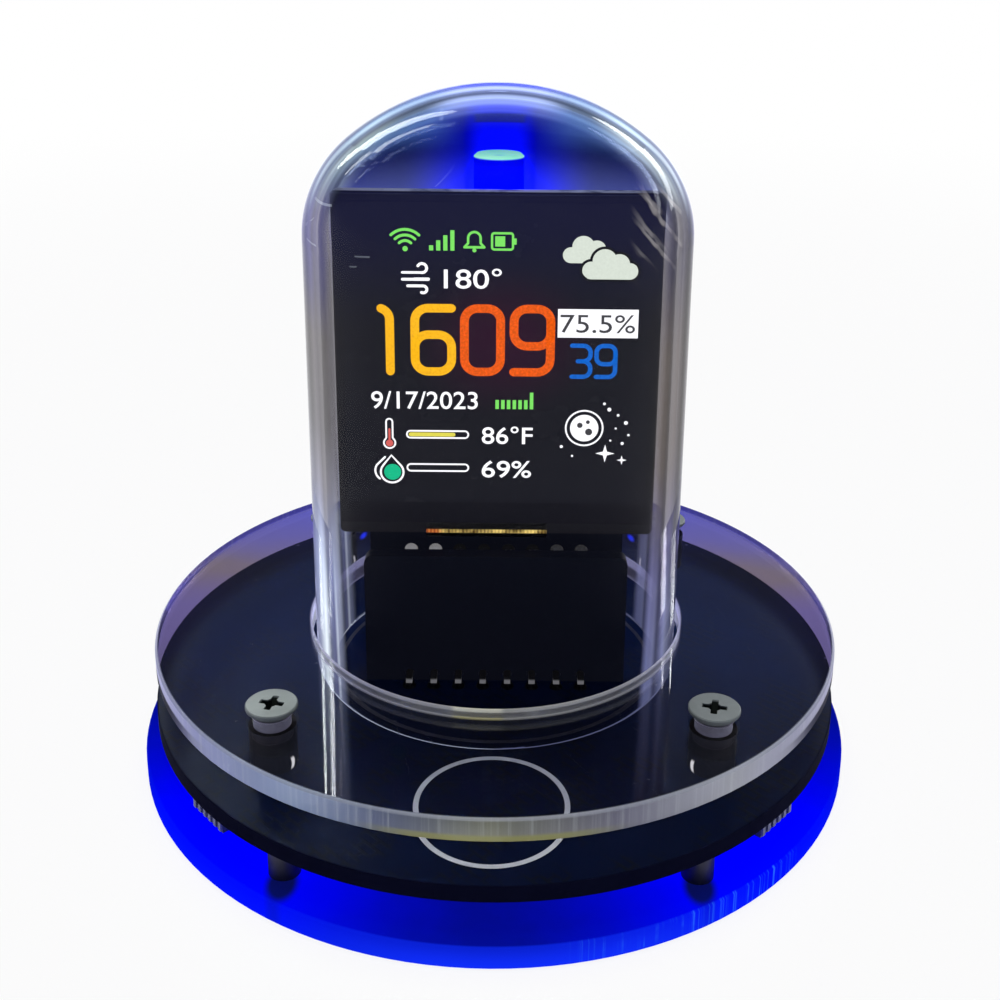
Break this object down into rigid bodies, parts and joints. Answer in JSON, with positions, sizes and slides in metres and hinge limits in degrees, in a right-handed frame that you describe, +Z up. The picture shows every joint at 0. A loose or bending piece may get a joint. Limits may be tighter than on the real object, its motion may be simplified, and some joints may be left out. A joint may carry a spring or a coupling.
{
  "type": "digital desk clock",
  "caption": "Desk clock with a square colour display on upright boards under a clear glass dome, standing on a round stack of clear plates and a circuit board lit from below.",
  "frame": {"origin": "centre of the bottom plate's lower face, on the surface that the clock stands on", "axes": "+Z up along the dome's axis, the display faces -Y, +X to the right when facing the display"},
  "size_m": [0.0736, 0.0736, 0.0686],
  "materials": {
    "lit_acrylic": "clear acrylic sheet with laser-cut rim, lit blue",
    "dark_nylon": "satin nylon",
    "board_black": "satin black solder mask",
    "lamp_body": "moulded lamp body",
    "tinned_metal": "tinned copper",
    "zinc_steel": "dull zinc plate",
    "brown_nylon": "dark brown nylon",
    "clear_acrylic": "clear acrylic sheet with laser-cut rim",
    "dome_glass": "clear glass",
    "solder": "bright solder",
    "tray_plastic": "black moulded tray",
    "lcd_black": "black display glass",
    "screen_film": "dark polarizing film",
    "flex_gold": "gold flexible circuit",
    "lamp_blue": "clear lamp body, lit blue",
    "module_board": "dark solder mask",
    "shield_metal": "tinned sheet",
    "socket_metal": "nickel plate",
    "chip_plastic": "black moulding compound",
    "capacitor_ceramic": "tan ceramic",
    "resistor_black": "black glaze"
  },
  "bodies": {
    "base": {"bottom_plate": "lit_acrylic", "lower_pillars": "dark_nylon", "base_board": "board_black", "base_leds": "lamp_body", "led_leads": "tinned_metal", "screw_nuts": "zinc_steel", "upper_spacers": "brown_nylon", "top_plate": "clear_acrylic", "plate_screws": "zinc_steel", "riser_board": "board_black", "riser_pins": "tinned_metal", "riser_joints": "solder", "display_board": "board_black", "display_pins": "tinned_metal", "display_joints": "solder", "backlight_tray": "tray_plastic", "lcd_glass": "lcd_black", "polarizer": "screen_film", "flex_cable": "flex_gold", "up_light": "lamp_blue", "up_light_leads": "tinned_metal", "radio_module": "module_board", "shield_can": "shield_metal", "usb_shell": "socket_metal", "usb_tongue": "chip_plastic", "touch_chip": "chip_plastic", "regulator": "chip_plastic", "chip_capacitors": "capacitor_ceramic", "chip_resistors": "resistor_black"},
    "dome": {"glass_dome": "dome_glass"}
  },
  "joints": [
    {"name": "dome_lift", "type": "slide", "parent": "base", "child": "dome", "axis": [0, 0, 1], "range_m": [0, 0.06]}
  ]
}
